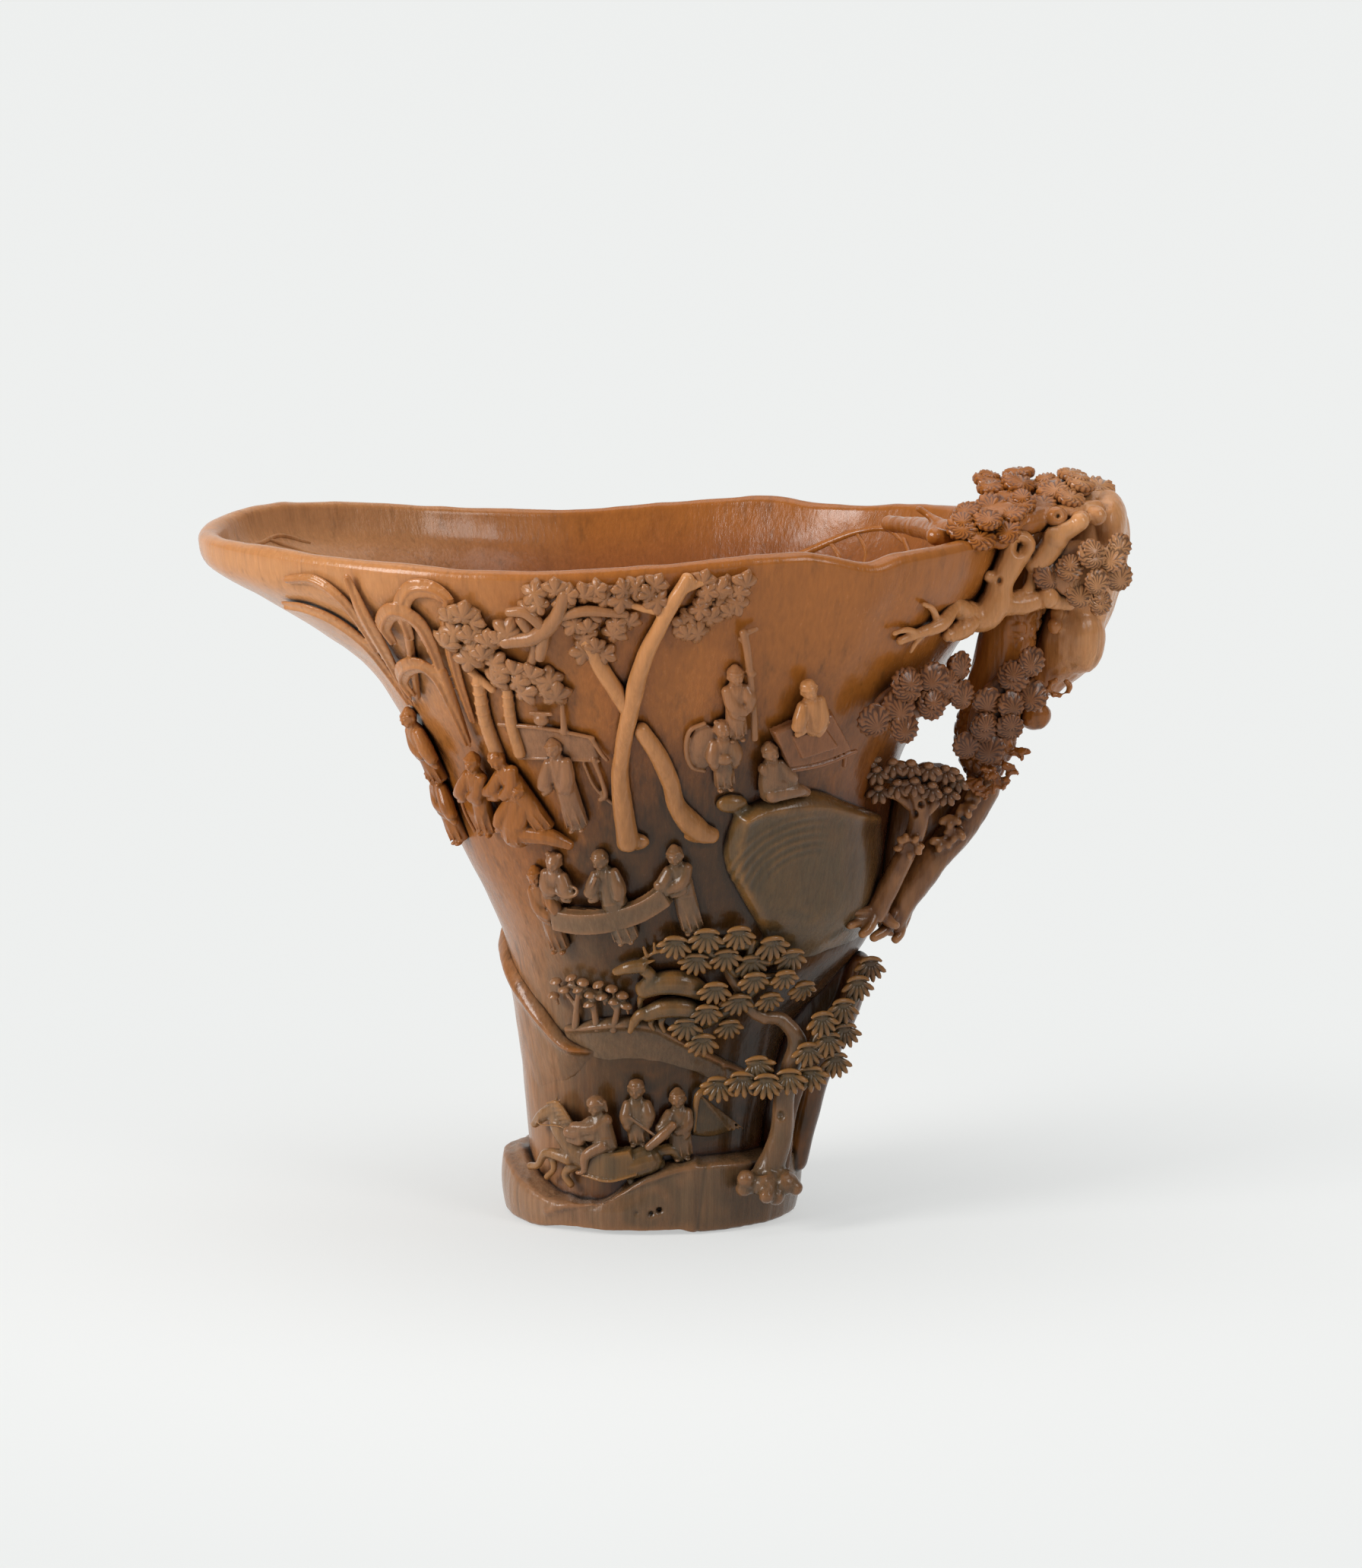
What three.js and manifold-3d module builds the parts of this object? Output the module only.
// A carved horn libation cup: a flaring mouth with a pouring lip to the left, an openwork pine and
// rock handle to the right, and a landscape with scholars, deer and a rider cut in relief round the wall.
// Millimetres, +Z up, origin at the centre of the flat foot, +X to the handle, -Y to the front.
import * as THREE from "three";
import { mergeVertices } from "three/addons/utils/BufferGeometryUtils.js";
import Module from "manifold-3d";

const wasm = await Module();
wasm.setup();

// Overall sizes.
const MOUTH_LENGTH = 148.5; // spout tip to the handle end of the rim
const MOUTH_DEPTH = 100.5;
const RIM_HEIGHT = 126;

// Wall and bowl.
const LIP_SHARE = 0.055; // thickness of the lip, as a share of the mouth's half width
const WALL_SHARE = 0.12; // the same lower down, where the wall thickens
const BOWL_FLOOR = 70;
const FOOT_ROUND = 0.06; // how far the foot draws in at the table, as a share

// Relief.
const CLEARANCE = 0.3; // slit between a carved form and what it is seated on
const SINK = 1.5; // how far a form reaches into the wall before it is cut back to the slit
const STAND = 1.1; // how far a figure's middle stands off the wall
const HEAD = 1.6;
const SHOULDER = 1.9;
const HEM = 2.3;
const ARM = 0.75;
const TREE = 2; // radius of the two crossing trees
const PAD = 3.2; // radius of a round pad of pine needles
const PAD_RISE = 1.6;
const FAN = 2.9; // radius of a drooping fan of the lower pine
const LEAF = 3.1;
const LEDGE = 5.2; // how far the foot's rock ledge stands out
const LEDGE_TO_HANDLE = 0.4; // how much further it stands out below the handle, as a share
const BOULDER = 2.6;
const HILL = 1.7;

// Handle.
const PINE = 5; // radius of the pine trunk
const ROCK = 6.8; // half width of the outer rock, rim side
const BRANCH = 2.6;
const VINE = 3.1;
const WEB = 5.6; // half width of the sheets of horn left between the wall and the openwork
const WEB_FLAT = 0.5;

// Steps of the mesh.
const ROUND_STEPS = 32;
const LIMB_SIDES = 5;

// Sections of the outer wall, bottom to top: level, left, right, front, back, middle.
const SECTIONS = [
  [0, -22, 20, -17.5, 17.5, -1],
  [16, -22.5, 21, -17.5, 17.5, -1],
  [28, -23.5, 23.5, -18.5, 18.5, -1],
  [36, -24, 26.5, -20, 20, -1],
  [44, -25, 34, -22.5, 23, 0],
  [52, -26.5, 40, -26, 26.5, 1],
  [60, -30, 42, -29, 29, 1],
  [72, -36, 43.5, -32.5, 32, 0],
  [84, -40.5, 45.3, -35.5, 35, -1],
  [95, -46.5, 50.5, -39.5, 39, -2],
  [103, -52, 54.5, -42.5, 42, -4],
  [109, -60.5, 58.5, -44.8, 44.3, -5],
  [115, -71, 62, -47, 46.5, -7],
  [120, -80, 64.5, -49, 48.5, -8],
  [126, -82, 66.5, -50.5, 50, -8],
];
const TOP = SECTIONS.at(-1);
const STRETCH = new THREE.Vector3(
  MOUTH_LENGTH / (TOP[2] - TOP[1]),
  MOUTH_DEPTH / (TOP[4] - TOP[3]),
  RIM_HEIGHT / TOP[0],
);

// How far the rim's line rises or dips round the mouth: angle in degrees (0 at the handle), rise.
const RIM_WAVE = [
  [-180, 0], [-150, -0.1], [-100, -0.9], [-62, 1.7], [-50, -1], [-44, 0.3], [0, 2],
  [30, 1.2], [56, -0.8], [66, 0], [95, -2.8], [108, -2.3], [148, 2], [180, 0],
];
const WAVE_FROM = 95; // the level below which the rim's wave has died out
const SPOUT_PINCH = 0.25; // how far the mouth draws in toward the spout

const smooth = THREE.MathUtils.smoothstep;

// Smooth curve through uneven points.
function along(points, column, x) {
  const last = points.length - 1;
  if (x <= points[0][0]) return points[0][column];
  if (x >= points[last][0]) return points[last][column];
  const i = points.findLastIndex((p) => p[0] <= x);
  const slope = (k) => {
    const a = points[Math.max(0, k - 1)];
    const b = points[Math.min(last, k + 1)];
    return (b[column] - a[column]) / (b[0] - a[0]);
  };
  const span = points[i + 1][0] - points[i][0];
  const t = (x - points[i][0]) / span;
  const rise = t * t * (3 - 2 * t);
  const tangents = slope(i) * (t ** 3 - 2 * t * t + t) + slope(i + 1) * (t ** 3 - t * t);
  return points[i][column] * (1 - rise) + points[i + 1][column] * rise + tangents * span;
}

// A point of the outer wall; a share under 1 draws it in toward the middle of its section.
function wallPoint(angle, level, share = 1) {
  const [left, right, front, back, middle] = [1, 2, 3, 4, 5].map((c) => along(SECTIONS, c, level));
  const cos = Math.cos(angle);
  const sin = Math.sin(angle);
  const degrees = THREE.MathUtils.euclideanModulo(THREE.MathUtils.radToDeg(angle) + 180, 360) - 180;
  const fade = smooth(level, WAVE_FROM, TOP[0]);
  const pinch = 1 - SPOUT_PINCH * fade * Math.max(0, -cos) ** 2;
  return new THREE.Vector3(
    middle + share * cos * (cos > 0 ? right - middle : middle - left),
    share * sin * pinch * (sin > 0 ? back : -front),
    level + along(RIM_WAVE, 1, degrees) * fade,
  );
}

// A place on the wall with its own axes: right and up along the wall, out away from it.
function spot(angle, level, lift = 0) {
  const step = 0.01;
  const right = wallPoint(angle + step, level).sub(wallPoint(angle - step, level)).normalize();
  const high = wallPoint(angle, Math.min(level + step, TOP[0]));
  const low = wallPoint(angle, Math.max(level - step, 0));
  const out = right.clone().cross(high.sub(low)).normalize();
  const up = out.clone().cross(right);
  return { p: wallPoint(angle, level).addScaledVector(out, lift), right, up, out };
}
const polar = (degrees, z, lift) => spot(THREE.MathUtils.degToRad(degrees), z, lift);

// The same, found from a place's x and z as seen from the front (side -1) or from the back (side 1).
function seen(side, x, z, lift) {
  let level = z;
  let angle = 0;
  for (let i = 0; i < 4; i += 1) {
    const at = (c) => along(SECTIONS, c, level);
    const reach = x > at(5) ? at(2) - at(5) : at(5) - at(1);
    angle = side * Math.acos(THREE.MathUtils.clamp((x - at(5)) / reach, -0.999, 0.999));
    level += z - wallPoint(angle, level).z;
  }
  return spot(angle, level, lift);
}
const front = (x, z, lift) => seen(-1, x, z, lift);
const back = (x, z, lift) => seen(1, x, z, lift);

// A place clear of the wall, facing the given way.
function free(x, y, z, facing = [0, -1, 0]) {
  const out = new THREE.Vector3(...facing).normalize();
  const right = new THREE.Vector3(-out.y, out.x, 0);
  if (right.length() < 0.1) right.set(1, 0, 0);
  right.normalize();
  return { p: new THREE.Vector3(x, y, z), right, up: out.clone().cross(right), out };
}

// A closed solid from a geometry, stretched to the overall sizes and kept off the table's underside.
function solid(geometry) {
  geometry.deleteAttribute("normal");
  geometry.deleteAttribute("uv");
  const merged = mergeVertices(geometry, 1e-4);
  const position = merged.attributes.position;
  for (let i = 0; i < position.count; i += 1) {
    const z = Math.max(0, position.getZ(i) * STRETCH.z);
    position.setXYZ(i, position.getX(i) * STRETCH.x, position.getY(i) * STRETCH.y, z);
  }
  const triVerts = new Uint32Array(merged.index.array);
  const build = () =>
    new wasm.Manifold(new wasm.Mesh({ numProp: 3, vertProperties: position.array, triVerts }));
  const made = build();
  if (made.volume() > 0) return made;
  for (let i = 0; i < triVerts.length; i += 3) {
    [triVerts[i], triVerts[i + 1]] = [triVerts[i + 1], triVerts[i]];
  }
  return build();
}
const join = (solids) => solids.reduce((a, b) => a.add(b));

function place(geometry, at) {
  const basis = new THREE.Matrix4().makeBasis(at.right, at.up, at.out).setPosition(at.p);
  return solid(geometry.applyMatrix4(basis));
}

// The building forms, each made larger all round by the given growth.
const kit = (grow) => ({
  // A ball or an egg, its radii along right, up and out, turned in the wall's plane.
  ball(at, rx, ry = rx, rz = rx, turn = 0, sides = 6) {
    const egg = new THREE.SphereGeometry(1, sides, sides - 3);
    egg.scale(rx + grow, ry + grow, rz + grow);
    return place(egg.rotateZ(turn), at);
  },
  // A tapered rod through the given places; flat squeezes it toward the wall.
  limb(places, radii, flat = 1, sides = LIMB_SIDES) {
    const path = new THREE.CatmullRomCurve3(places.map((s) => s.p), false, "centripetal");
    const steps = places.length - 1;
    const radius = (t) => along(radii.map((r, i) => [i / (radii.length - 1), r]), 1, t) + grow;
    const rings = [{ r: 0, t: 0, end: -radius(0) * 0.5 }];
    for (let i = 0; i <= steps; i += 1) rings.push({ r: radius(i / steps), t: i / steps, end: 0 });
    rings.push({ r: 0, t: 1, end: radius(1) * 0.5 });
    const profile = rings.map((ring, i) => new THREE.Vector2(ring.r ? 1 : 0, i));
    const rod = new THREE.LatheGeometry(profile, sides);
    const position = rod.attributes.position;
    for (let i = 0; i < position.count; i += 1) {
      const ring = rings[Math.round(position.getY(i))];
      const centre = path.getPoint(ring.t);
      const tangent = path.getTangent(ring.t);
      const share = ring.t * (places.length - 1);
      const k = Math.min(Math.floor(share), places.length - 2);
      const facing = places[k].out.clone().lerp(places[k + 1].out, share - k);
      const side = tangent.clone().cross(facing).normalize();
      const off = side.clone().cross(tangent);
      const point = centre
        .addScaledVector(side, position.getX(i) * ring.r)
        .addScaledVector(off, position.getZ(i) * (grow + (ring.r - grow) * flat))
        .addScaledVector(tangent, ring.end);
      position.setXYZ(i, point.x, point.y, point.z);
    }
    return solid(rod);
  },
  // A slab of rock or cloth that follows the wall between rows of places, low row first.
  slab(put, rows, thick, across = 6, up = 2) {
    const sheet = new THREE.BoxGeometry(1, 1, 1, across, up, 1);
    const position = sheet.attributes.position;
    const pick = (row, column, u) => along(row.map((p, i) => [i / (row.length - 1), p[column]]), 1, u);
    for (let i = 0; i < position.count; i += 1) {
      const u = position.getX(i) + 0.5;
      const v = position.getY(i) + 0.5;
      const [a, b] = [0, 1].map((c) =>
        along(rows.map((row, k) => [k / (rows.length - 1), pick(row, c, u)]), 1, v),
      );
      const edge = Math.min(1, 0.6 + 4 * Math.min(u, 1 - u, v, 1 - v));
      const height = typeof thick === "number" ? thick * edge : thick(u, v) * edge;
      const at = put(a, b, position.getZ(i) > 0 ? height + grow : -SINK);
      at.p.addScaledVector(at.right, Math.sign(Math.round(2 * u - 1)) * grow);
      at.p.addScaledVector(at.up, Math.sign(Math.round(2 * v - 1)) * grow);
      position.setXYZ(i, at.p.x, at.p.y, at.p.z);
    }
    return solid(sheet);
  },
  // A round pad of needles: a low dome.
  pad(at, radius = PAD, rise = PAD_RISE) {
    const r = radius + grow;
    const profile = [
      [0, -rise * 0.5 - grow],
      [r, -rise * 0.2 - grow],
      [r * 0.8, rise * 0.7 + grow],
      [0, rise + grow],
    ];
    const dome = new THREE.LatheGeometry(profile.map((p) => new THREE.Vector2(...p)), 6);
    return place(dome.rotateX(Math.PI / 2), at);
  },
});

// A standing, sitting or leaning figure from its feet to its head, with arms to the given hands.
function figure(k, put, feet, head, { hands = [], hem = HEM, stand = STAND } = {}) {
  const tall = Math.hypot(head[0] - feet[0], head[1] - feet[1]);
  const at = (share, lift) =>
    put(feet[0] + (head[0] - feet[0]) * share, feet[1] + (head[1] - feet[1]) * share, lift);
  const [neck, shoulder] = [1 - HEAD / tall, 1 - (2.1 * HEAD) / tall];
  const robe = [
    at(0.06, stand * 0.5),
    at(shoulder * 0.55, stand * 0.9),
    at(shoulder, stand),
    at(neck, stand),
  ];
  return [
    k.limb(robe, [hem, hem * 0.85, SHOULDER, HEAD * 0.55], 1, 5),
    k.ball(at(1, stand + 0.3), HEAD * 0.86, HEAD, HEAD * 0.95),
    ...hands.map(([x, z]) =>
      k.limb([at(shoulder, stand + 0.5), put(x, z, stand + 0.9)], [ARM * 1.3, ARM], 1, 4),
    ),
  ];
}

// Leaves on a stem: each leaf is an egg set at its own turn.
function spray(k, put, stem, leaves, size = LEAF) {
  const forms = [k.limb(stem.map(([x, z]) => put(x, z, 0.5)), [1.1, 0.8])];
  leaves.forEach(([x, z], i) => {
    forms.push(k.ball(put(x, z, 0.8), size * 0.7, size, 1.2, i * 1.1, 5));
  });
  return forms;
}

// Pads of needles over the flat mat of twigs that carries them.
function pads(k, places, [middle, wide, high, turn = 0], radius = PAD) {
  const mat = k.ball(middle, wide, high, 1.3, turn, 6);
  return [mat, ...places.map((at, i) => k.pad(at, radius * (1 - 0.08 * (i % 3))))];
}
const list = (points, facing) => points.map((p) => free(...p, facing));

const AMBER = ["#b4702e", 0.38];
const HONEY = ["#c98a35", 0.35];
const BROWN = ["#8a5a34", 0.42];
const OLIVE = ["#6d5a3d", 0.45];
const MAUVE = ["#7d553c", 0.5];

// Every carved form, the ones in front first: name, look, forms, and whether it reaches over the rim.
const FORMS = [
  [
    "horse_rider",
    BROWN,
    (k) => figure(k, front, [-7, 16], [-9, 24.4], { hands: [[-12.5, 19.6]], stand: 2.6 }),
  ],
  ["horse", OLIVE, (k) => [
    k.limb([front(-0.5, 14.2, 1.6), front(-7, 13, 1.8), front(-12.5, 15, 1.6)], [3, 2.7, 2.6]),
    k.limb([front(-12.5, 15.5, 1.6), front(-16.5, 22.6, 1.6)], [2.2, 1.3]),
    k.limb([front(-16.5, 22.4, 1.6), front(-19, 19.6, 1.6)], [1.4, 1]),
    k.limb([front(-13, 13.5, 1.6), front(-16.4, 13.6, 1.6), front(-18.6, 11, 1.6)], [1.3, 0.9]),
    k.limb([front(-12, 13, 1.4), front(-14.3, 9.6, 1.2)], [1.2, 0.8]),
    k.limb([front(-2, 13, 1.4), front(-3.4, 9.2, 1.2)], [1.4, 0.8]),
    k.limb([front(-0.6, 15.2, 1.6), front(4, 14.6, 1)], [1.1, 0.7]),
  ]],
  ["groom_with_roll", BROWN, (k) => [
    ...figure(k, front, [5.6, 14.6], [4.6, 25.4], { hands: [[3.4, 20.4]] }),
    k.limb([front(4, 21.4, 2.2), front(0.6, 18, 2.2)], [0.9, 0.9]),
  ]],
  [
    "groom_with_folded_hands",
    BROWN,
    (k) => figure(k, front, [-2, 17.5], [-2, 27], { hands: [[-2.4, 21.6]] }),
  ],
  ["banner_rock", OLIVE, (k) => [
    k.slab(front, [[[7.4, 18], [11, 17.4], [15, 18]], [[8, 26.4], [8.8, 26.2], [10, 25.2]]], 1),
  ]],
  ["deer_with_antlers", OLIVE, (k) => [
    k.limb([front(8, 46, 0.8), front(3, 48.6, 1.1), front(-0.5, 47.6, 1)], [2.2, 2.2, 1.7]),
    k.limb([front(-0.5, 48, 1), front(-2.4, 52, 1.1)], [1.5, 1]),
    k.limb([front(-2.2, 52.4, 1.1), front(-6, 51.4, 1.1)], [1.1, 0.7]),
    k.limb([front(-2.4, 52.6, 0.8), front(0.4, 55.6, 0.8)], [0.6, 0.5]),
    k.limb([front(0, 47, 0.9), front(-1.6, 43.4, 0.8)], [0.9, 0.6]),
  ]],
  ["deer_grazing", OLIVE, (k) => [
    k.limb([front(8.4, 42.6, 1.4), front(3, 43.8, 1.7), front(0, 42.6, 1.4)], [1.7, 1.8, 1.4]),
    k.limb([front(0, 42.6, 1.4), front(-2.6, 40.6, 1.4)], [1.2, 0.9]),
    k.limb([front(2, 42.6, 1.4), front(1.4, 39.2, 1.2)], [0.8, 0.6]),
    k.limb([front(7, 42, 1.2), front(7.4, 39.4, 1)], [0.9, 0.6]),
  ]],
  ["saplings", HONEY, (k) => [
    k.limb([front(-14, 48, 0.8), front(-9, 47, 1.2), front(-4.4, 44.6, 0.8)], [1.6, 1.5]),
    ...[-12.4, -8.8, -6.4].map((x) => k.limb([front(x, 40.2, 0.8), front(x + 0.4, 46, 1)], [0.8, 0.6])),
    ...[[-15.2, 49], [-12, 49.2], [-13, 46.6], [-8.6, 48.4], [-5.4, 47.4], [-4, 44.6]].map(([x, z]) =>
      k.ball(front(x, z, 1.1), 1.8, 1.3, 1.4, 0.3, 5),
    ),
  ]],

  [
    "scroll_holder_left",
    AMBER,
    (k) => figure(k, front, [-15.8, 54.4], [-20.2, 68.2], { hands: [[-17, 62]] }),
  ],
  ["bowl_bearer", BROWN, (k) => [
    ...figure(k, front, [-16.4, 63.8], [-16.6, 70.4], { hem: 1.8 }),
    k.ball(front(-14.4, 66.3, 1.8), 1.8, 1.2, 1.3),
  ]],
  ["scroll", AMBER, (k) => [
    k.slab(
      front,
      [
        [[-16.4, 59.4], [-9, 59.4], [-2, 61], [4.4, 64.4]],
        [[-17.4, 63.4], [-10, 63.8], [-3, 65.6], [2.4, 67.8]],
      ],
      2.3,
    ),
  ]],
  ["scroll_reader", BROWN, (k) =>
    figure(k, front, [-4.6, 65.4], [-8.6, 71.8], { hands: [[-9.8, 67]], hem: 1.9 })],
  ["scroll_holder_right", BROWN, (k) => figure(k, front, [7.6, 60], [4, 73], { hands: [[2.4, 68.2]] })],

  ["staff_bearer", BROWN, (k) => [
    ...figure(k, front, [15, 95.6], [14.8, 107], { hands: [[17.6, 102]] }),
    k.limb([front(18.2, 96, 2.2), front(17.8, 106, 2.4), front(15.8, 115, 1)], [0.8, 0.7]),
  ]],
  ["bundle_bearer", BROWN, (k) => [
    ...figure(k, front, [13, 86.6], [12.6, 97], { hands: [[13.6, 92]] }),
    k.ball(front(10.6, 93.6, 1), 2, 3.8, 1.5),
  ]],
  [
    "seated_attendant",
    BROWN,
    (k) => figure(k, front, [22, 84.4], [20.8, 92.4], { hands: [[22.8, 88.6]], stand: 1.8 }),
  ],
  ["writing_table", MAUVE, (k) => [
    k.slab(front, [[[23, 89.6], [29, 90.6], [34, 92.4]], [[21, 96], [26, 97.8], [31, 98.8]]], 3.4, 4, 2),
  ]],
  [
    "writer",
    HONEY,
    (k) => figure(k, front, [28, 98], [27, 103.4], { hands: [[24.6, 97.8]], stand: 2, hem: 2.6 }),
  ],

  [
    "kneeling_figure",
    AMBER,
    (k) => figure(k, front, [-23, 75.4], [-22, 84.4], { hands: [[-24.4, 78.6]], stand: 1.9, hem: 2.8 }),
  ],
  ["stick_bearer", AMBER, (k) => [
    ...figure(k, front, [-27.6, 76.4], [-30, 89.4], { hands: [[-31.6, 83.6]], stand: 2 }),
    k.limb([front(-31.6, 85, 2.6), front(-30, 75.6, 1.2)], [0.6, 0.6]),
  ]],
  ["capped_elder", AMBER, (k) => figure(k, front, [-15, 76.4], [-26, 90.2], { hands: [[-23.4, 84.6]] })],
  ["standing_scholar", BROWN, (k) => figure(k, front, [-12.4, 79], [-16.6, 93], { hands: [[-16.4, 87]] })],
  ["scholars_at_the_edge", AMBER, (k) => [
    ...figure(k, front, [-38, 83], [-42, 94.6], { hands: [[-37.6, 89.6]] }),
    ...figure(k, front, [-33, 71.6], [-37.4, 84], { hands: [[-34.4, 79]] }),
  ]],
  ["antique_table", BROWN, (k) => [
    k.slab(
      front,
      [[[-22.6, 90], [-16, 90.6], [-8.4, 90.8]], [[-27, 97], [-18, 96.6], [-9.4, 94.6]]],
      1.1,
      4,
      1,
    ),
    k.ball(front(-18.4, 97.2, 1.2), 1.7, 1.5, 1.2, 0, 6),
    k.limb([front(-14.4, 95, 0.8), front(-14.8, 100.4, 0.8)], [1.1, 0.6], 1, 4),
    k.limb([front(-9.4, 92, 0.7), front(-7.6, 86, 0.7), front(-8.4, 83, 0.7)], [0.8, 0.6], 1, 4),
  ]],

  ["tree_in_front", HONEY, (k) => [
    k.limb(
      [
        [7, 125], [3.6, 120], [-1, 110], [-3.4, 98], [-5, 88], [-3.6, 75.4],
      ].map(([x, z]) => front(x, z, 1.2)),
      [TREE * 0.8, TREE, TREE, TREE * 1.15],
      1,
      7,
    ),
  ]],
  ["tree_behind_top", HONEY, (k) => [
    k.limb(
      [[-10.4, 113], [-7.6, 107], [-4.2, 101]].map(([x, z]) => front(x, z, 0.9)),
      [TREE * 0.7, TREE * 0.9],
    ),
  ]],
  ["tree_behind_foot", HONEY, (k) => [
    k.limb(
      [[-0.6, 95.4], [2.4, 91], [4.6, 82.6], [9.4, 76.8]].map(([x, z]) => front(x, z, 0.9)),
      [TREE * 0.9, TREE, TREE * 1.3],
      1,
      7,
    ),
  ]],
  ["maple_leaves_left", HONEY, (k) =>
    spray(k, front, [[-13, 104.6], [-21, 106.6], [-27, 110], [-29, 115], [-34.6, 119]], [
      [-13.4, 103.4], [-16.4, 107.4], [-18.4, 104.4], [-22.4, 108.6], [-24, 106], [-29, 109.6],
      [-26.4, 113], [-28.4, 117], [-31.6, 114.6], [-34.6, 119.6],
    ])],
  ["maple_leaves_high", AMBER, (k) =>
    spray(k, front, [[-16, 115.6], [-14.6, 119.4], [-8, 116.6], [-3.4, 113.6]], [
      [-16.4, 117], [-14.4, 119.8], [-11.6, 117], [-8.4, 118.6], [-7, 115], [-4.2, 115.4], [-3.4, 112.6],
    ])],
  ["plantain_leaf_long", AMBER, (k) => [
    k.limb(
      [[-63, 114.6], [-55, 116], [-48, 110.6], [-42.6, 99]].map(([x, z]) => front(x, z, 0.6)),
      [1.2, 2.6, 2.7, 1.2],
      0.6,
    ),
    k.limb(
      [[-50, 123], [-47, 118], [-44.6, 108], [-42, 100.4]].map(([x, z]) => front(x, z, 0.5)),
      [1.4, 2.1, 1.4],
      0.7,
    ),
    k.limb([[-61, 121.4], [-55, 122.6], [-48.6, 119]].map(([x, z]) => front(x, z, 0.5)), [1, 2, 1], 0.7),
  ]],
  ["plantain_leaf_curled", AMBER, (k) => [
    k.limb(
      [[-43.6, 116.4], [-39.4, 117.4], [-36, 112.4], [-38.6, 106]].map(([x, z]) => front(x, z, 0.6)),
      [1.3, 2, 2, 1.3],
      0.7,
    ),
    k.limb(
      [[-40, 104.6], [-35.4, 105.4], [-31.6, 100], [-32.4, 94]].map(([x, z]) => front(x, z, 0.6)),
      [1, 1.9, 1.8, 1],
      0.7,
    ),
  ]],
  ["plantain_stems", HONEY, (k) => [
    k.limb([[-27.6, 104.4], [-27.4, 98], [-25.4, 91.6]].map(([x, z]) => front(x, z, 0.6)), [1.1, 1.4]),
    k.limb([[-29.6, 105.6], [-26, 103.4]].map(([x, z]) => front(x, z, 0.6)), [0.9, 0.9]),
  ]],

  // The small tree and the climbing stem below the handle.
  ["small_tree_leaves", OLIVE, (k) => [
    k.ball(free(47, -15.6, 83.6), 6.4, 1.8, 1.5, 0, 6),
    ...[
      [41.4, -16.4, 83.4], [44.4, -16.6, 84.6], [47.6, -16.4, 84.6], [50.6, -15.6, 84], [53, -14.4, 83],
    ].map((p) =>
      k.ball(free(...p), 2.1, 2, 1.7, 0, 6),
    ),
    k.ball(free(41.6, -16.6, 80.6), 2.2, 2.4, 1.6, 0, 6),
  ]],
  ["small_tree", HONEY, (k) => [
    k.limb(
      list([[40.4, -12.6, 58], [44, -12.4, 64], [46.6, -12.6, 69.6], [48.6, -13.4, 76], [48, -14.8, 81.4]]),
      [2.2, 1.9, 1.5, 1.1],
    ),
    k.limb(list([[48.6, -13.4, 77], [52.2, -13.6, 81.4]]), [1, 0.8]),
    k.limb(list([[41, -12.8, 58.6], [36.6, -16.6, 56.4]]), [1.4, 0.9]),
  ]],
  ["climbing_stem", HONEY, (k) => [
    k.limb(
      list([[60.6, -4, 79.6], [56, -5.4, 72.4], [51, -6.6, 66.6], [46.8, -7.6, 60.6], [44.4, -8.4, 55]]),
      [VINE, VINE * 1.05, VINE, VINE * 0.9, VINE * 0.7],
      1,
      8,
    ),
    k.limb(
      list([[44, -4, 54], [45.4, -4, 62], [48, -3.6, 71], [51.4, -3, 79.6]]),
      [WEB * 0.5, WEB * 0.8, WEB * 1.1, WEB],
      WEB_FLAT,
      8,
    ),
    k.limb(list([[44.6, -10, 57.4], [41.4, -11.4, 53.6]]), [1.6, 1]),
    ...[
      [54.2, -8.6, 74.2], [56.6, -8, 76], [55.4, -8.8, 72],
    ].map((p) => k.ball(free(...p), 2, 1.8, 1.6, 0, 6)),
  ]],

  // The lower pine, which stands free of the wall at the right of the foot.
  ["lower_pine_trunk", BROWN, (k) => [
    k.limb(
      list([[21, -17, 11], [23.4, -17.4, 17], [24, -17.6, 24], [25.4, -18.4, 31]]),
      [3, 2.2, 1.9, 1.8],
      1,
      8,
    ),
    k.limb(
      list([[25.4, -18.4, 31], [26.6, -18.6, 35.6], [24.4, -19, 39.4], [20.6, -20.2, 40]]),
      [1.9, 1.6, 1.4, 1.3],
    ),
    k.limb(list([[21, -20.2, 40], [17, -21.4, 43], [14, -24.4, 48.6]]), [1.3, 1, 0.9]),
  ]],
  ["lower_pine_fans_top", MAUVE, (k) =>
    pads(
      k,
      [[5, 56], [9.6, 57], [14.6, 57], [20, 54.6], [7, 52.2]].map(([x, z]) => front(x, z, 1.8)),
      [front(12.4, 54.8, 0.8), 9, 2.4, -0.06],
      FAN,
    )],
  ["lower_pine_fans_middle", MAUVE, (k) =>
    pads(
      k,
      [
        [11, 46.4], [18, 48], [22, 48.6], [15.4, 44.4], [10, 41.8], [12.6, 38.4], [9.4, 36.4],
      ].map(([x, z]) =>
        front(x, z, 3),
      ),
      [front(15, 43.6, 2.6), 9.6, 3.2, 0.75],
      FAN,
    )],
  ["lower_pine_fans_low", MAUVE, (k) =>
    pads(
      k,
      list([[15.4, -20.4, 27.6], [19, -21.6, 28.4], [23, -22, 28.4], [27.4, -20.6, 28.6]]),
      [free(21.4, -20.4, 27.6), 7, 1.8],
      FAN,
    )],
  ["lower_pine_fans_right", MAUVE, (k) =>
    pads(
      k,
      list(
        [
          [28.6, -20.4, 33.6], [32, -18.8, 34.6], [31.4, -19.4, 38.4], [34.6, -16.6, 40],
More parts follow.
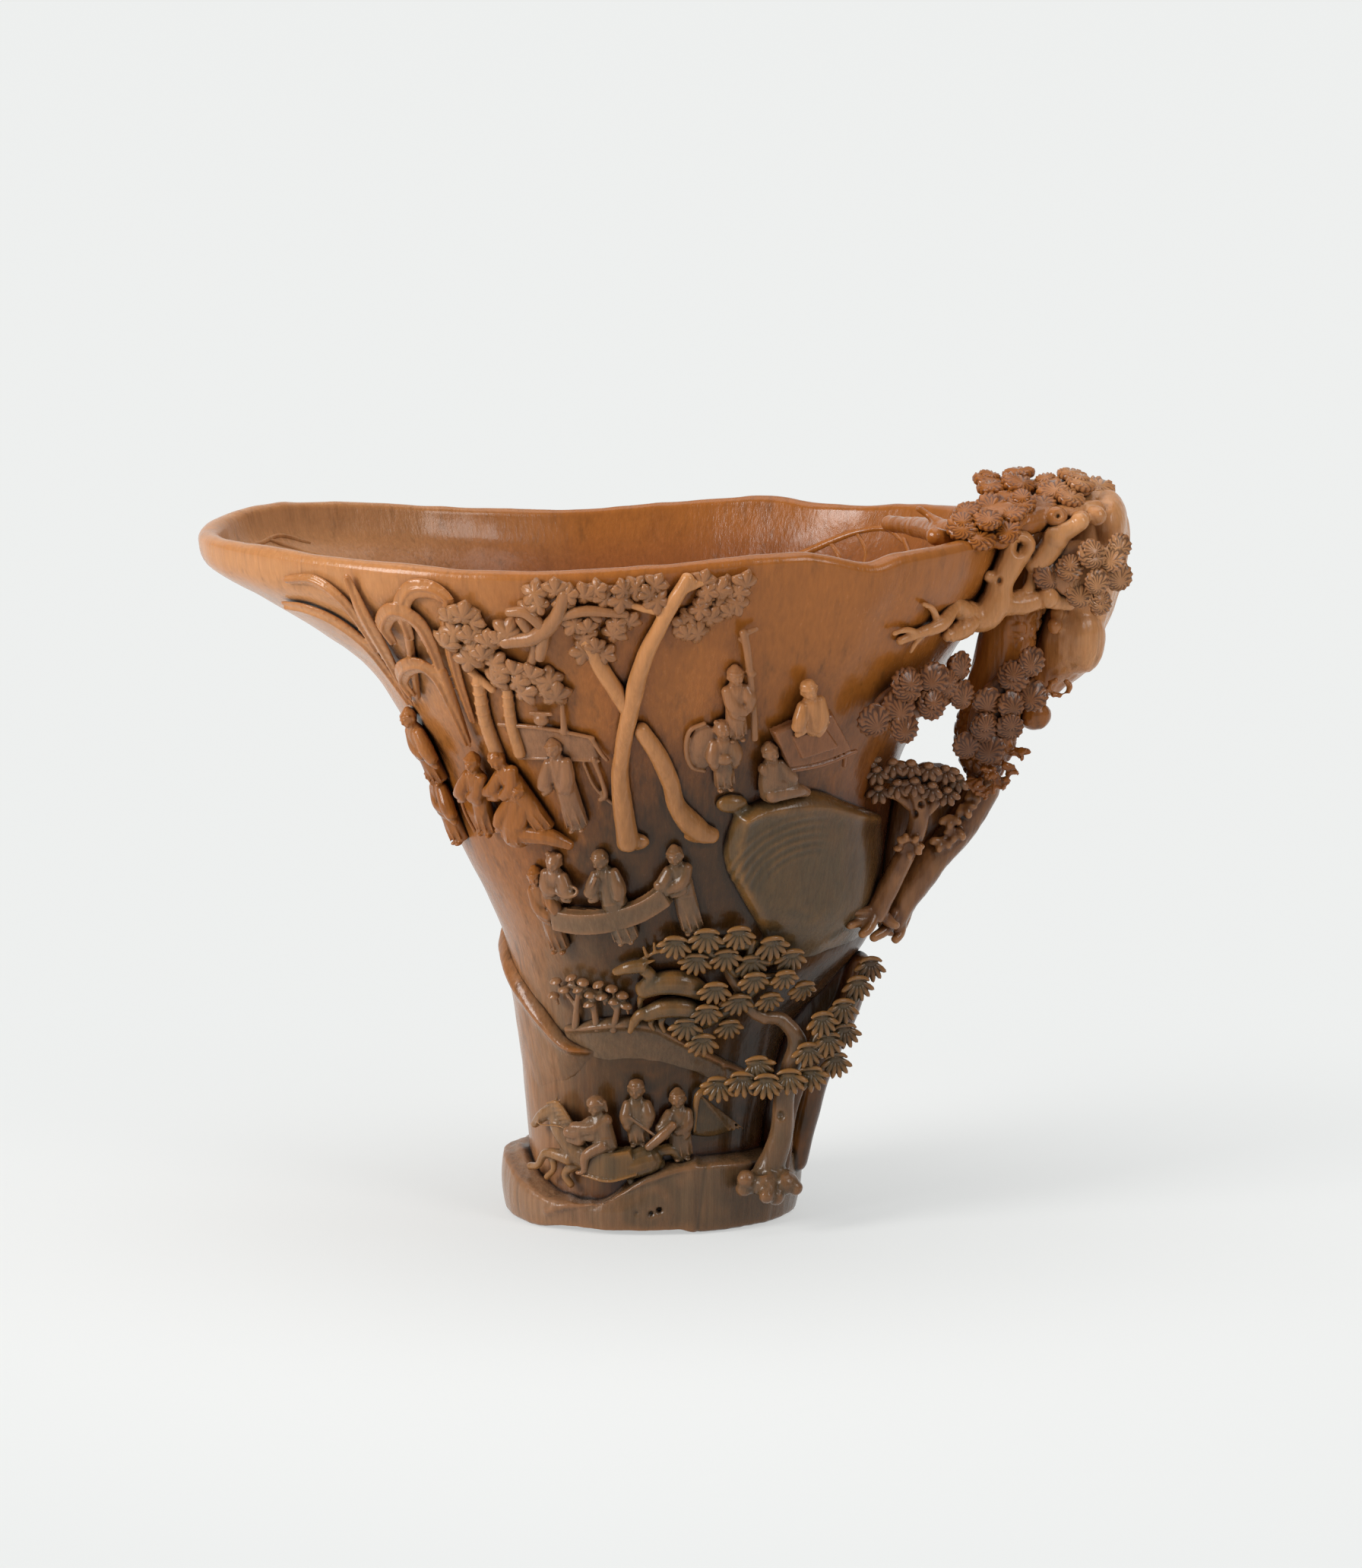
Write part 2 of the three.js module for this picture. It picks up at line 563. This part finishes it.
          [37.6, -13.6, 42.6],
        ],
        [0.4, -1, 0],
      ),
      [free(33, -16.8, 38, [0.5, -1, 0]), 7, 3, 0.75],
      FAN,
    )],
  ["outer_fold", AMBER, (k) => [
    k.limb(
      list(
        [[26.6, -3, 11], [28.4, -3, 19], [31.4, -3.4, 28.4], [35, -4, 37], [37.6, -4, 46.6]],
        [1, -0.2, 0],
      ),
      [2.6, 2.8, 3.2, 3.6, 3],
      0.7,
    ),
    k.limb(
      list([[22.6, -2, 9], [24.2, -2.4, 19], [27, -3, 29], [31, -3.4, 39], [34.6, -4, 46.6]]),
      [WEB * 0.6, WEB * 0.8, WEB * 0.8, WEB * 0.9, WEB * 0.7],
      WEB_FLAT,
      8,
    ),
  ]],

  // The handle.
  ["handle_branch", HONEY, (k) => [
    k.limb(
      list(
        [[65, -14.6, 128], [63, -14.6, 120.6], [64, -14, 116], [59.4, -15.4, 113.4], [54.6, -20.6, 116]],
      ),
      [BRANCH * 1.15, BRANCH, BRANCH, BRANCH * 0.9, BRANCH * 0.7],
    ),
    k.limb([free(55, -20.4, 116), front(47, 113.6, 1)], [1.5, 0.8]),
    k.limb(list([[64, -14, 115.4], [73.4, -11.4, 114]]), [1.7, 1.3]),
  ], true],
  ["crown_branch", AMBER, (k) => [
    k.limb(
      list([
        [43.6, 14, 125.4], [49, 4, 126], [53.6, -12, 127.4], [60, -19.4, 128], [66, -17.4, 128.6],
        [71.4, -13, 129.4],
      ]),
      [1.4, 1.9, 2.1, 2.2],
    ),
    k.ball(free(73, -12, 129.8), 2.5),
  ], true],
  ["crown_pads_left", MAUVE, (k) =>
    pads(
      k,
      list(
        [
          [56, -21.6, 131.2], [60.6, -19.6, 132], [65.4, -16.4, 132.4], [61, -14.6, 133.2],
          [65.4, -13, 132.8],
        ],
        [-0.1, -0.5, 0.8],
      ),
      [free(61.6, -16.4, 132.6, [-0.1, -0.5, 0.8]), 7, 5],
      PAD * 1.1,
    ), true],
  ["crown_pads_top", MAUVE, (k) =>
    pads(
      k,
      list(
        [
          [61.6, 6.4, 134.4], [67.6, 6.6, 134.8], [63.4, 1.6, 134], [67.8, 0.8, 134.2], [73, 2.4, 134.2],
          [78, 4, 134], [81.6, 1, 132.8],
        ],
        [0, -0.5, 0.9],
      ),
      [free(71, 3, 133, [0, -0.5, 0.9]), 10.6, 4.6],
      PAD * 1.15,
    ), true],
  ["handle_pads_right", MAUVE, (k) =>
    pads(
      k,
      list(
        [
          [71, -13.4, 121], [74.8, -14.4, 122.4], [78.2, -13.6, 124.8], [79.2, -13.6, 120.4],
          [82, -11.6, 123], [79.6, -12.6, 116.8],
        ],
        [0.2, -1, 0.2],
      ),
      [free(77, -12.2, 121, [0.2, -1, 0.2]), 6.4, 4.6],
    ).concat(k.limb(list([[76, -11.4, 120.4], [71.6, -6.4, 118.6]]), [2, 2])), true],
  ["handle_pads_left", MAUVE, (k) =>
    pads(
      k,
      list(
        [
          [45, -28, 103.4], [50, -23.4, 103.4], [54.4, -18.4, 103], [40, -29.6, 98.4], [43.6, -27.6, 99.4],
          [49, -24, 98.4], [53.6, -18.4, 98.6], [44, -27.4, 95.4],
        ],
        [0.5, -1, 0],
      ),
      [free(47.4, -24, 100, [0.5, -0.8, 0]), 11, 3.6, 0.12],
    )],
  ["handle_pads_middle", MAUVE, (k) =>
    pads(
      k,
      list(
        [
          [68, -13, 103.2], [64, -14, 101.6], [67, -13, 98.6], [60.4, -15, 97.6], [64, -14.4, 95.6],
          [59, -15.4, 93.4], [55.4, -15, 90.6], [60.4, -15, 90],
        ],
        [0.2, -1, 0],
      ),
      [free(62.4, -12.3, 96.6, [0.2, -1, 0]), 4.6, 8.6, -0.6],
    )],
  ["handle_trunk", AMBER, (k) => [
    k.limb(
      list([
        [73, -2, 129], [69.4, -4, 119], [65.4, -5, 110], [63.6, -5, 102], [61.6, -5.6, 94],
        [60.4, -5.6, 87.6], [60.4, -5, 82.6],
      ]),
      [PINE * 0.9, PINE, PINE, PINE * 1.05, PINE * 1.1, PINE * 1.15, PINE * 0.7],
      1,
      10,
    ),
    k.limb(list([[70, -1, 128], [66, 0, 120], [62.4, -1, 112.4]]), [5.2, 5.4, 4], 1, 8),
    ...[
      [60.4, -10, 82], [63, -10.4, 83.6], [65.4, -9, 86],
    ].map((p) => k.ball(free(...p), 2, 1.8, 1.7, 0, 6)),
  ]],
  ["handle_rock", AMBER, (k) => [
    k.limb(
      list(
        [
          [77.6, 4, 131.4], [79.8, 3, 127], [78.6, 3, 119], [75.2, 3, 110], [71.6, 2.6, 102.4],
          [68.6, 2, 96],
        ],
      ),
      [ROCK * 0.7, ROCK * 1.05, ROCK * 1.1, ROCK * 1.05, ROCK * 0.9, ROCK * 0.55],
      1.3,
      9,
    ),
    k.ball(free(69.4, -1.6, 95), 3.4),
  ]],

  // Rock faces.
  ["boulder", OLIVE, (k) => [
    k.slab(
      polar,
      [
        [[-58, 52], [-48, 49], [-30, 48], [-10, 50]],
        [[-72, 70], [-56, 66], [-36, 64], [-14, 66]],
        [[-70, 82.6], [-54, 82], [-38, 77.6], [-20, 75.4]],
      ],
      BOULDER,
      7,
      4,
    ),
    k.ball(front(14.4, 82, 0.6), 3.4, 2.2, 1.8),
  ]],
  ["middle_hill", BROWN, (k) => [
    k.slab(
      front,
      [
        [[-15, 31], [-8, 29], [0, 28.6], [8, 27.6], [19, 26.4]],
        [[-17, 39], [-8, 39.4], [-1, 40], [5, 35.4], [19, 28.4]],
      ],
      (u, v) => HILL * (0.6 + 0.4 * v),
      10,
      3,
    ),
  ]],
  ["left_hill", AMBER, (k) => [
    k.slab(
      polar,
      [
        [[-186, 20], [-168, 21], [-150, 23], [-128, 29]],
        [[-186, 50], [-164, 45], [-142, 39.6], [-126, 33.6]],
      ],
      (u, v) => HILL * (0.5 + 0.5 * v),
      7,
      4,
    ),
  ]],
  ["foot_ledge_front", BROWN, (k) => [
    k.slab(
      polar,
      [
        [[-196, 0], [-150, 0], [-105, 0], [-60, 0], [-25, 0], [14, 0]],
        [[-196, 11], [-150, 7.4], [-112, 6.6], [-84, 11], [-45, 14.4], [14, 12.6]],
      ],
      (u) => LEDGE * (1 - 0.15 * Math.sin(Math.PI * u) + LEDGE_TO_HANDLE * smooth(u, 0.55, 1)),
      12,
      2,
    ),
  ]],
  ["foot_ledge_back", BROWN, (k) => [
    k.slab(
      polar,
      [
        [[16, 0], [60, 0], [110, 0], [162, 0]],
        [[16, 13], [60, 10], [110, 14], [162, 10.6]],
      ],
      (u) => LEDGE * (1 - 0.15 * Math.sin(Math.PI * u) + LEDGE_TO_HANDLE * (1 - smooth(u, 0, 0.45))),
      10,
      3,
    ),
  ]],
  ["back_pine", MAUVE, (k) => [
    k.limb(
      [[18, 60], [12, 72], [14, 86], [4, 98], [-8, 106]].map(([x, z]) => back(x, z, 1.4)),
      [2.8, 2.4, 2, 1.4],
      1,
      7,
    ),
    ...[
      [-9, 108], [-3, 105], [2.4, 103], [-12.6, 105.4], [-1.6, 109.6], [-6.4, 111],
    ].map(([x, z]) => k.pad(back(x, z, 1.6))),
  ]],
  ["back_scholar", BROWN, (k) => figure(k, back, [-14, 70], [-15, 82], { hands: [[-11.6, 76]] })],
  ["back_cliff", OLIVE, (k) => [
    k.slab(
      polar,
      [
        [[30, 46], [70, 40], [110, 36], [150, 34]],
        [[24, 66], [70, 58], [110, 62], [152, 56]],
      ],
      BOULDER,
      10,
      3,
    ),
  ]],
];

// The cup itself: outer wall, rounded lip, inner wall and bowl floor, turned once round.
const LEVELS = [0, 3, 12, 24, 36, 46, 56, 70, 84, 93, 100, 106, 112, 117, 122];
function cup(grow, hollow) {
  const lip = TOP[0];
  const outer = LEVELS.map((level) => ({ share: level ? 1 : 1 - FOOT_ROUND * hollow, level, grow }));
  const rings = [{ share: 0, level: 0, grow }, ...outer];
  if (hollow) {
    rings.push({ share: 1, level: lip - 0.6, grow });
    rings.push({ share: 1 - LIP_SHARE * 0.5, level: lip + 0.6, grow: 0, rise: grow });
    const inner = [[lip - 1, LIP_SHARE], [112, 0.085], [99, WALL_SHARE], [86, 0.2], [77, 0.34], [72, 0.56]];
    for (const [level, thick] of inner) rings.push({ share: 1 - thick, level, grow: -grow });
    rings.push({ share: 0, level: BOWL_FLOOR, grow: 0, rise: grow });
  } else {
    rings.push({ share: 1, level: lip, grow }, { share: 1, level: lip, grow, rise: 12 });
    rings.push({ share: 0, level: lip, grow: 0, rise: 12 });
  }
  const profile = rings.map((ring, i) => new THREE.Vector2(ring.share ? 1 : 0, i));
  const turned = new THREE.LatheGeometry(profile, ROUND_STEPS);
  const position = turned.attributes.position;
  for (let i = 0; i < position.count; i += 1) {
    const ring = rings[Math.round(position.getY(i))];
    const angle = Math.atan2(position.getX(i), position.getZ(i));
    const point = wallPoint(angle, ring.level, ring.share);
    if (ring.share) point.addScaledVector(spot(angle, ring.level).out, ring.grow);
    point.z += ring.rise ?? 0;
    if (ring.level === 0) point.z = 0;
    position.setXYZ(i, point.x, point.y, point.z);
  }
  return solid(turned);
}

// The largest single piece of a solid, as a geometry.
function geometryOf(body) {
  const mesh = body.getMesh();
  const owner = Array.from({ length: mesh.numVert }, (_, i) => i);
  const root = (i) => {
    while (owner[i] !== i) i = owner[i] = owner[owner[i]];
    return i;
  };
  const corners = mesh.triVerts;
  for (let i = 0; i < corners.length; i += 3) {
    owner[root(corners[i])] = root(corners[i + 1]);
    owner[root(corners[i + 1])] = root(corners[i + 2]);
  }
  const sizes = new Map();
  for (const corner of corners) sizes.set(root(corner), (sizes.get(root(corner)) ?? 0) + 1);
  const [largest] = [...sizes].sort((a, b) => b[1] - a[1])[0];
  const positions = [];
  for (let i = 0; i < corners.length; i += 3) {
    if (root(corners[i]) !== largest) continue;
    for (let c = 0; c < 3; c += 1) {
      const v = corners[i + c] * mesh.numProp;
      positions.push(...mesh.vertProperties.slice(v, v + 3));
    }
  }
  const geometry = new THREE.BufferGeometry();
  geometry.setAttribute("position", new THREE.Float32BufferAttribute(positions, 3));
  geometry.computeVertexNormals();
  return geometry;
}

const group = new THREE.Group();
function addMesh(name, [color, roughness], body) {
  const material = new THREE.MeshStandardMaterial({ color, roughness, metalness: 0 });
  const mesh = new THREE.Mesh(geometryOf(body), material);
  mesh.name = name;
  group.add(mesh);
}

addMesh("cup_body", AMBER, cup(0, 1));
const core = cup(CLEARANCE, 0);
const shell = cup(CLEARANCE, 1);
const nearer = [];
for (const [name, look, forms, overRim] of FORMS) {
  let body = join(forms(kit(0))).subtract(overRim ? shell : core);
  const box = body.boundingBox();
  for (const other of nearer) {
    const apart = [0, 1, 2].some((c) => other.box.min[c] > box.max[c] || other.box.max[c] < box.min[c]);
    if (!apart) body = body.subtract(other.body);
  }
  addMesh(name, look, body);
  const grown = join(forms(kit(CLEARANCE)));
  nearer.push({ body: grown, box: grown.boundingBox() });
}

export default group;
